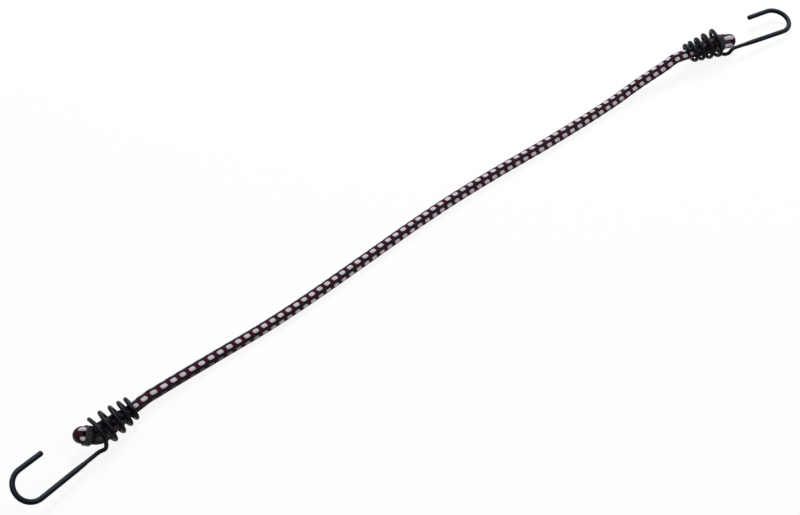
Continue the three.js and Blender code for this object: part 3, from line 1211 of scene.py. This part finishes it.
    def build(self, pattern: WovenPattern, woven: bpy.types.Material, rubber: bpy.types.Material) -> None:
        """Make the sleeve and its threads along the course between the two ends.

        Args:
            pattern: The weave.
            woven: Finish of the sleeve.
            rubber: Finish of the threads.
        """
        course = self.course()
        sizes = {
            "Radius": self.base_radius * MM, "Start": self.reach * MM, "Rings": self.rings,
            "Sides": self.sides, "Finish": woven,
        }
        sleeve = self.sleeve_recipe(pattern).make(line_object("sleeve_woven", course), sizes, self.wall * MM)
        sizes = {
            "Thread radius": self.thread_radius * MM, "Pitch": self.thread_pitch * MM,
            "Stations": self.thread_stations, "Finish": rubber,
        }
        threads = self.thread_recipe().make(line_object("rubber_threads", course), sizes)
        for piece in (sleeve, threads):
            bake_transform(piece)
        add_piece(sleeve, None, ["sleeve"])
        nodes = [f"rubber_thread_{i:02d}" for i in range(1, self.solid_threads + 1)]
        add_piece(threads, None, nodes)
        self.length() * MM


@dataclass
class FoldedEnd:
    """The end of the cord, flattened and folded back on itself, with its crimped clip."""

    end: CordEnd
    cord_length: float
    cord_diameter: float = 8.0
    leg_thickness: float = 5.2
    leg_width: float = 9.6
    leg_gap: float = 0.4
    leg_corner: float = 0.45
    swell: float = 1.06
    swell_length: float = 5.0
    main_from: float = 6.05
    flat_from: float = 16.0
    tail_start: float = 8.6
    coil_length: float = 33.0
    sink: float = 0.12
    crease: float = 0.04
    bore_at_mouth: float = 4.4
    bore_at_end: float = 8.6
    bore_room: float = 0.95
    fullest: float = 1.28
    full_before_clip: Range = (6.5, 0.4)
    least_width: float = 1.0
    tuck: Range = (0.0, 0.3)
    stretched_length: float = 24.0
    sides: int = 44
    main_rings: int = 56
    turn_rings: int = 34
    tail_rings: int = 46
    clip_width: float = 4.6
    clip_thickness: float = 0.5
    clip_edge: float = 0.16
    clip_corner: float = 0.75
    clip_corner_steps: int = 15
    clip_bead: float = 0.25
    clip_bead_place: float = 0.23
    clip_bead_width: float = 0.42
    clip_stations: int = 33
    clip_seam: float = 0.8
    clip_room: float = 0.2

    def leg_offset(self) -> float:
        """Distance of a leg's middle from the fold's middle line."""
        return (self.leg_thickness + self.leg_gap) / 2

    def turn_start(self) -> float:
        """Distance from the mouth at which the fold turns back."""
        crown = (self.leg_offset() + self.leg_thickness / 2) * self.swell
        return self.coil_length + self.end.stub - crown

    def room(self, along: np.ndarray) -> np.ndarray:
        """Radius that the spiral leaves free for the legs, at distances from the mouth."""
        return mix(self.bore_at_mouth, self.bore_at_end, along / self.coil_length) - self.bore_room

    def pressing(self, along: np.ndarray) -> np.ndarray:
        """Share of the main leg's pressing, from 0 for the round cord to 1."""
        return smooth(along, self.main_from, self.flat_from)

    def fullness(self, along: np.ndarray) -> np.ndarray:
        """How far the legs spread inside the spiral, where nothing but its wire holds them.

        Args:
            along: Distances from the mouth.

        Returns:
            Scale of the pressed legs, 1 at the clip and beyond it.
        """
        corner = math.hypot(self.leg_offset(), self.leg_width / 2)
        spread = np.clip(self.room(along) / corner, 1.0, self.fullest)
        clip_start = self.end.clip - self.clip_width / 2
        fade_from, fade_to = (clip_start - before for before in self.full_before_clip)
        return mix(spread, 1.0, smooth(along, fade_from, fade_to))

    def rings(self) -> tuple[np.ndarray, np.ndarray]:
        """Rings of the main leg, the turn and the tail.

        Returns:
            Points of the rings in the mouth's axes, and the length along the cord at each ring.
        """
        offset, turn_start = self.leg_offset(), self.turn_start()
        main = np.linspace(self.main_from, turn_start, self.main_rings)
        tail = np.linspace(turn_start, self.tail_start, self.tail_rings)
        angle = np.linspace(0.0, np.pi, self.turn_rings)[1:-1]
        along = np.concatenate([main, np.full(len(angle), turn_start), tail])
        point, tangent, normal, binormal = self.end.stub_frames(along)
        lean = np.concatenate([np.zeros(len(main)), angle, np.full(len(tail), np.pi)])
        normal = normal * np.cos(lean)[:, None] + tangent * np.sin(lean)[:, None]
        bulge = np.concatenate([main, turn_start + offset * np.minimum(angle, np.pi - angle), tail])
        from_clip = self.end.clip + self.clip_width / 2
        swell = mix(1.0, self.swell, smooth(bulge, from_clip, from_clip + self.swell_length))
        swell = swell * self.fullness(along)
        flat = np.concatenate([self.pressing(main), np.ones(len(angle) + len(tail))])
        outer = mix(self.cord_diameter, self.leg_thickness * swell, flat) / 2 - self.sink
        inner = mix(self.cord_diameter / 2 - self.sink, offset * swell - self.crease, flat)
        width = mix(self.cord_diameter, self.leg_width * swell, flat) / 2 - self.sink
        away = offset * flat * swell
        # The tail gives way to the main leg, which is rounder towards the mouth, and to the spiral's bore.
        last = slice(len(along) - len(tail), None)
        beside = self.pressing(tail)
        beside = mix(self.cord_diameter / 2, offset - self.crease, beside) - offset * beside
        beside = np.maximum(beside, 0.0) + self.crease
        room, reach = self.room(tail), away[last] + outer[last]
        squeeze = np.minimum((np.minimum(reach, room) - beside) / (reach - self.crease), 1.0)
        for row in (outer, inner):
            row[last] *= squeeze
        away[last] = beside + inner[last]
        left = np.sqrt(np.maximum(room ** 2 - away[last] ** 2, self.least_width))
        width[last] = np.minimum(width[last], left)
        centre = point + normal * away[:, None]
        length = self.main_from + run_lengths(centre)
        return self.pressed_rings(centre, normal, binormal, outer, inner, width, flat), length

    def pressed_rings(
        self, centre: np.ndarray, normal: np.ndarray, binormal: np.ndarray,
        outer: np.ndarray, inner: np.ndarray, width: np.ndarray, flat: np.ndarray,
    ) -> np.ndarray:
        """Rings that are round outside and pressed flat where the two legs meet.

        Args:
            centre: Rows of middle points.
            normal: Rows of directions out of the fold.
            binormal: Rows of directions along its width.
            outer: Reach along the normal.
            inner: Reach against the normal.
            width: Half width.
            flat: Share of the pressing, from 0 for the round cord to 1.

        Returns:
            Points as rings by sides by three.
        """
        angle = ring_angles(self.sides)
        cosine, sine = np.cos(angle), np.sin(angle)
        square = mix(1.0, self.leg_corner, flat)[:, None]
        inside = -inner[:, None] * np.abs(cosine) ** square
        across = np.where(cosine > 0, outer[:, None] * cosine, inside)
        up = width[:, None] * sine
        return centre[:, None] + across[..., None] * normal[:, None] + up[..., None] * binormal[:, None]

    def weave(self, length: np.ndarray) -> np.ndarray:
        """Place in the weave of every point, carried on from the round cord.

        Args:
            length: Length along the cord from the mouth, for each ring.

        Returns:
            Length along the cord, cosine and sine of the angle from the top, for rings by sides. The last two
            are shortened where the face is tucked in between the legs, to mark the painted shade there.
        """
        round_leg = ring_angles(self.sides)
        twist = math.radians(self.end.twist) * smooth(length, self.main_from, self.coil_length)
        angle = math.radians(self.end.fold) + round_leg[None, :] + twist[:, None]
        near = self.end.side is Side.NEAR
        from_top = math.pi / 2 - angle if near else angle - math.pi / 2
        pressed = self.pressing(length)
        slipped = length + self.end.slip * pressed
        past_coil = np.clip(length - self.coil_length, 0.0, self.stretched_length)
        slipped = slipped - self.end.stretch * past_coil
        along = -slipped if near else self.cord_length + slipped
        along = np.broadcast_to(along[:, None], from_top.shape)
        tucked = smooth(-np.cos(round_leg), *self.tuck) * pressed[:, None]
        # The shortening between the legs marks where shade is painted.
        open_share = 1 - self.end.crease_shade * tucked
        return np.stack([along, np.cos(from_top) * open_share, np.sin(from_top) * open_share], axis=-1)

    def build_fold(self, pattern: WovenPattern, woven: bpy.types.Material) -> None:
        """Make the folded cord.

        Args:
            pattern: The weave.
            woven: Finish of the sleeve.
        """
        rings, length = self.rings()
        name = self.end.side.value
        source = lofted_object(f"{name}_fold_woven", self.end.placed(rings), self.weave(length))
        recipe = Recipe(f"{name} woven fold")
        recipe.close(pattern.raised(recipe, recipe.geometry))
        fold = recipe.make(source, {"Finish": woven})
        add_piece(fold, self.end.cord_body, [f"{name}_cord_fold"])

    def clip_outline(self) -> tuple[np.ndarray, np.ndarray]:
        """Outline of the clip's inner face, from one side of its seam round to the other.

        Returns:
            Points across the fold, and the angle that the face looks in at each.
        """
        half_long = self.leg_offset() + self.leg_thickness / 2 + self.clip_room
        half_wide = self.leg_width / 2 + self.clip_room
        corner = min(half_long, half_wide) * self.clip_corner
        points, looks = [(-half_long, -self.clip_seam / 2)], [math.pi]
        for quarter, (across, up) in enumerate(((-1, -1), (1, -1), (1, 1), (-1, 1))):
            for step in range(self.clip_corner_steps):
                look = math.pi + math.pi / 2 * (quarter + step / (self.clip_corner_steps - 1))
                x = across * (half_long - corner) + corner * math.cos(look)
                points.append((x, up * (half_wide - corner) + corner * math.sin(look)))
                looks.append(look)
        points.append((-half_long, self.clip_seam / 2))
        looks.append(math.pi)
        return np.array(points), np.array(looks)

    def clip_section(self) -> np.ndarray:
        """Section of the clip's strip, with rounded edges and two beads.

        Returns:
            Rows of place along the fold and height.
        """
        half, edge = self.clip_width / 2, self.clip_edge
        top = self.clip_thickness + self.clip_room / 2
        place = np.linspace(-half + edge, half - edge, self.clip_stations)
        from_bead = (np.abs(place) - self.clip_bead_place * self.clip_width) / self.clip_bead_width
        outer = np.stack([place, top + self.clip_bead * np.exp(-(from_bead ** 2))], axis=-1)
        lower = [(half, top - edge), (half, edge), (half - edge, 0.0)]
        upper = [(-half + edge, 0.0), (-half, edge), (-half, top - edge)]
        return np.concatenate([outer, lower, upper])

    def build_clip(self, steel: bpy.types.Material) -> None:
        """Make the crimped clip.

        Args:
            steel: Finish of the clip.
        """
        frames = self.end.stub_frames(np.array([self.end.clip]))
        point, tangent, normal, binormal = (row[0] for row in frames)
        outline, looks = self.clip_outline()
        section = self.clip_section()
        foot = point + outline[:, :1] * normal + outline[:, 1:] * binormal
        out = np.cos(looks)[:, None] * normal + np.sin(looks)[:, None] * binormal
        rings = foot[:, None] + section[None, :, :1] * tangent + section[None, :, 1:] * out[:, None]
        name = self.end.side.value
        clip = lofted_object(f"{name}_clip_steel", self.end.placed(rings))
        clip.data.materials.append(steel)
        add_piece(clip, self.end.cord_body, [f"{name}_clip"])


@dataclass
class SpiralHook:
    """Hook bent from one wire: tapering spiral, shank, round bend and tip, with its vinyl dip.

    Its own axes run out along the spiral, across to the shank, and upright from the hook's plane.
    """

    end: CordEnd
    wire_radius: float = 1.4
    turns: float = 4.96
    coil_length: float = 33.0
    mouth_radius: float = 5.8
    end_radius: float = 10.0
    evenness: float = 0.35
    crowding: float = 1.5
    start_cut: float = 0.03
    lean_fade: Range = (0.86, 1.0)
    shank_bend: float = 4.5
    shank_bend_reach: float = 1.2
    shank_bend_pull: float = 0.8
    shank_length: float = 51.7
    hook_span: float = 22.2
    tip_length: float = 17.2
    coil_stations: int = 221
    shank_bend_stations: int = 14
    shank_stations: int = 40
    bend_stations: int = 41
    tip_stations: int = 13
    wire_sides: int = 20
    start_reach: float = 0.12
    start_size: float = 0.86
    tip_size: float = 0.6
    coat_wall: float = 0.4
    coat_room: float = 0.03
    coat_cover: float = 36.0
    coat_taper: float = 8.4
    coat_end: float = 1.2
    lip_wall: float = 0.16
    lip_reach: float = 0.12
    lip_waves: tuple[Point, ...] = ((0.9, 1, 0.7), (0.35, 3, 2.0))
    lip_fade: float = 3.0
    crown_rings: int = 8
    crown_hole: float = 0.02
    tip_gap: float = 0.1

    def coil(self) -> np.ndarray:
        """Centre line of the spiral, whose turns lean and stand out until they near the shank.

        Returns:
            Rows of points in the hook's own axes.
        """
        along = np.linspace(self.start_cut, 1.0, self.coil_stations)
        share = self.evenness * along + (1 - self.evenness) * along**self.crowding
        radius = mix(self.mouth_radius, self.end_radius, share)
        exit_angle = math.asin(self.shank_bend / self.end_radius)
        angle = mix(FULL_TURN * self.turns, exit_angle, along)
        x, y, z = self.coil_length * share, radius * np.cos(angle), radius * np.sin(angle)
        loose = 1 - smooth(along, *self.lean_fade)
        lean_y, lean_z = self.end.lean
        x = x + (lean_y * (y + radius) + lean_z * z) * loose
        y = y + self.end.stand * (y - radius) * loose
        return np.stack([x, y, z], axis=-1)

    def path(self) -> np.ndarray:
        """Centre line of the whole wire.

        Returns:
            Rows of points in the hook's own axes.
        """
        coil = self.coil()
        bend_start = self.coil_length + self.shank_length
        start = np.array([self.coil_length + self.shank_bend * self.shank_bend_reach, coil[-1][1], 0.0])
        stop = np.array([bend_start, self.end_radius, 0.0])
        pull = self.shank_bend * self.shank_bend_pull
        leave = coil[-1] + unit(coil[-1] - coil[-2]) * pull
        arrive = start + unit(start - stop) * pull
        t = np.linspace(0.0, 1.0, self.shank_bend_stations + 1)[1:, None]
        turn = (1 - t)**3 * coil[-1] + 3 * (1 - t)**2 * t * leave + 3 * (1 - t) * t**2 * arrive + t**3 * start
        shank = mix(start, stop, np.linspace(0.0, 1.0, self.shank_stations)[1:-1, None])
        sweep = np.linspace(0.0, np.pi, self.bend_stations)
        radius = self.hook_span / 2
        y = self.end_radius - radius + radius * np.cos(sweep)
        bend = np.stack([bend_start + radius * np.sin(sweep), y, 0 * sweep], axis=-1)
        x = np.linspace(bend_start, bend_start - self.tip_length, self.tip_stations + 1)[1:]
        tip = np.stack([x, np.full_like(x, self.end_radius - self.hook_span), 0 * x], axis=-1)
        return np.concatenate([coil, turn, shank, bend, tip])

    def wire_recipe(self) -> Recipe:
        """Tree that sweeps the round wire and stands its turns on the floor.

        Returns:
            The tree.
        """
        recipe = Recipe(f"{self.end.side.value} hook wire")
        radius, sides, floor = recipe.size("Wire radius"), recipe.count("Sides"), recipe.size("Floor")
        curve = recipe.node("GeometryNodeMeshToCurve", None, {"Mesh": recipe.geometry})
        sockets = {
            "Curve": curve, "Profile Curve": recipe.circle(sides, radius),
            "Scale": recipe.named("swell", "FLOAT"), "Fill Caps": True,
        }
        tube = recipe.node("GeometryNodeCurveToMesh", None, sockets)
        recipe.close(recipe.above_floor(tube, floor))
        return recipe

    def build_wire(self, black: bpy.types.Material) -> None:
        """Make the wire.

        Args:
            black: Finish of the wire.
        """
        path = self.path()
        first = path[0] - (path[1] - path[0]) * self.start_reach
        path = np.concatenate([[first], path])
        swell = np.ones(len(path))
        swell[0], swell[-1] = self.start_size, self.tip_size
        name = self.end.side.value
        source = line_object(f"{name}_wire_black", self.end.rolled(path), swell)
        sizes = {
            "Wire radius": self.wire_radius * MM, "Sides": self.wire_sides, "Floor": 0.0, "Finish": black,
        }
        wire = self.wire_recipe().make(source, sizes)
        add_piece(wire, self.end.hook_body, [f"{name}_hook_wire"])

    def dip_rings(self) -> np.ndarray:
        """Rings of the dip: up its bore to the uneven lip on the shank, and down its skin over the tip.

        Returns:
            Points in the hook's own axes, as rings by sides by three.
        """
        path, sides = self.path(), self.wire_sides
        lip_x = self.coil_length + self.shank_length - self.coat_cover
        past_coil = np.arange(len(path)) > self.coil_stations
        covered = path[int(np.argmax((path[:, 0] >= lip_x) & past_coil)):]
        tangent, normal, binormal = carried_frames(covered, np.array([0.0, 0.0, 1.0]))
        length = run_lengths(covered)
        bore = np.full(len(covered), self.wire_radius + self.coat_room)
        full = smooth(length, 0.0, self.coat_taper)
        skin = bore + mix(self.lip_wall, self.coat_wall - self.coat_room, full)
        outer = ring_points(covered, normal, binormal, skin, sides)
        inner = ring_points(covered, normal, binormal, bore, sides)
        angle = ring_angles(sides)
        drift = sum(height * np.sin(waves * angle + start) for height, waves, start in self.lip_waves)
        fade = np.exp(-length / self.lip_fade)[:, None, None]
        for rings in (outer, inner):
            rings += tangent[:, None] * drift[None, :, None] * fade
        lip = (outer[:1] + inner[:1]) / 2 - tangent[:1, None] * self.lip_reach
        over = np.linspace(0.0, np.pi / 2, self.crown_rings + 1)[1:]
        ones = np.ones((len(over), 1))
        crown_centre = covered[-1] + tangent[-1] * (self.coat_end * np.sin(over))[:, None]
        crown_radius = np.maximum(skin[-1] * np.cos(over), self.crown_hole)
        crown = ring_points(crown_centre, ones * normal[-1], ones * binormal[-1], crown_radius, sides)
        stop_centre = covered[-1:] + tangent[-1:] * self.tip_gap
        stop = ring_points(stop_centre, normal[-1:], binormal[-1:], bore[-1:], sides)
        return np.concatenate([stop, inner[::-1], lip, outer, crown])

    def build_dip(self, vinyl: bpy.types.Material) -> None:
        """Make the vinyl dip.

        Args:
            vinyl: Finish of the dip.
        """
        name = self.end.side.value
        dip = lofted_object(f"{name}_dip_vinyl", self.end.rolled(self.dip_rings()))
        dip.data.materials.append(vinyl)
        add_piece(dip, self.end.hook_body, [f"{name}_hook_coat"])


# The studio


@dataclass(frozen=True)
class Lamp:
    """Soft square lamp that looks at the middle of the cord, in metres and watts."""

    name: str
    place: Point
    size: float
    power: float

    def hang(self) -> None:
        """Hang the lamp in its place."""
        data = bpy.data.lights.new(self.name, "AREA")
        data.size = self.size
        data.energy = self.power
        lamp = bpy.data.objects.new(self.name, data)
        lamp.location = self.place
        lamp.rotation_euler = Vector(self.place).to_track_quat("Z", "Y").to_euler()
        bpy.context.scene.collection.objects.link(lamp)


@dataclass
class Studio:
    """White floor, soft lamps and the camera at the photograph's angle, in metres and degrees."""

    azimuth: float = -39.56
    elevation: float = 50.03
    distance: float = 1.178
    target: Point = (-0.04034, -0.00214, 0.006)
    sensor: float = 36.0
    lens: float = 77.49
    view_depth: float = 50.0
    floor_size: float = 14.0
    floor_height: float = -0.0001
    ambient: float = 0.4
    lamps: tuple[Lamp, ...] = (
        Lamp("key", (0.75, 0.8, 1.45), 0.6, 30.0),
        Lamp("fill", (0.9, -1.0, 1.1), 1.0, 3.0),
    )

    def back(self) -> Vector:
        """Direction from the target to the camera."""
        a, e = math.radians(self.azimuth), math.radians(self.elevation)
        return Vector((math.sin(a) * math.cos(e), -math.cos(a) * math.cos(e), math.sin(e)))

    def build_camera(self) -> None:
        """Set the camera."""
        data = bpy.data.cameras.new("camera")
        data.sensor_width = self.sensor
        data.lens = self.lens
        data.clip_end = self.view_depth
        camera = bpy.data.objects.new("camera", data)
        camera.location = Vector(self.target) + self.back() * self.distance
        camera.rotation_euler = self.back().to_track_quat("Z", "Y").to_euler()
        bpy.context.scene.collection.objects.link(camera)
        bpy.context.scene.camera = camera

    def build_floor(self) -> None:
        """Lay the floor."""
        half = self.floor_size / 2
        mesh = bpy.data.meshes.new("floor")
        corners = [(-half, -half), (half, -half), (half, half), (-half, half)]
        mesh.from_pydata([(x, y, self.floor_height) for x, y in corners], [], [(0, 1, 2, 3)])
        floor = placed_object("floor", mesh)
        mesh.materials.append(FloorFinish().make())

    def build_light(self) -> None:
        """Set the sky and the lamps."""
        world = bpy.data.worlds.new("white sky")
        graph = Graph.emptied(world)
        plain = graph.node("ShaderNodeBackground", None, {"Strength": self.ambient, "Color": WHITE})
        shown = graph.node("ShaderNodeBackground", None, {"Strength": 1.0, "Color": WHITE})
        sky = graph.node("ShaderNodeMixShader", None, {0: graph.seen_directly(), 1: plain, 2: shown})
        graph.end("ShaderNodeOutputWorld", "Surface", sky)
        bpy.context.scene.world = world
        for lamp in self.lamps:
            lamp.hang()

    def build(self) -> None:
        """Set the view and build the studio."""
        bpy.context.scene.view_settings.view_transform = "Standard"
        self.build_camera()
        self.build_floor()
        self.build_light()


def main() -> None:
    """Build the studio, the cord, its ends and the hooks, and log the cord's lengths."""
    logging.basicConfig(level=logging.INFO, format="%(message)s")
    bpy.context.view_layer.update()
    Studio().build()
    pattern = WovenPattern()
    woven, rubber = WovenFinish(pattern).make(), RubberFinish().make()
    wire, vinyl, steel = WIRE_FINISH.make(), DIP_FINISH.make(), ClipFinish().make()
    cord = ElasticCord()
    cord.build(pattern, woven, rubber)
    for end in (NEAR_END, FAR_END):
        fold = FoldedEnd(end, cord.shown_length())
        fold.build_fold(pattern, woven)
        fold.build_clip(steel)
        hook = SpiralHook(end)
        hook.build_wire(wire)
        hook.build_dip(vinyl)
    log.info("cord length %.1f mm, %.1f mm between the mouths", cord.length(), cord.shown_length())
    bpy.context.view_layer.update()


if __name__ == "__main__":
    main()
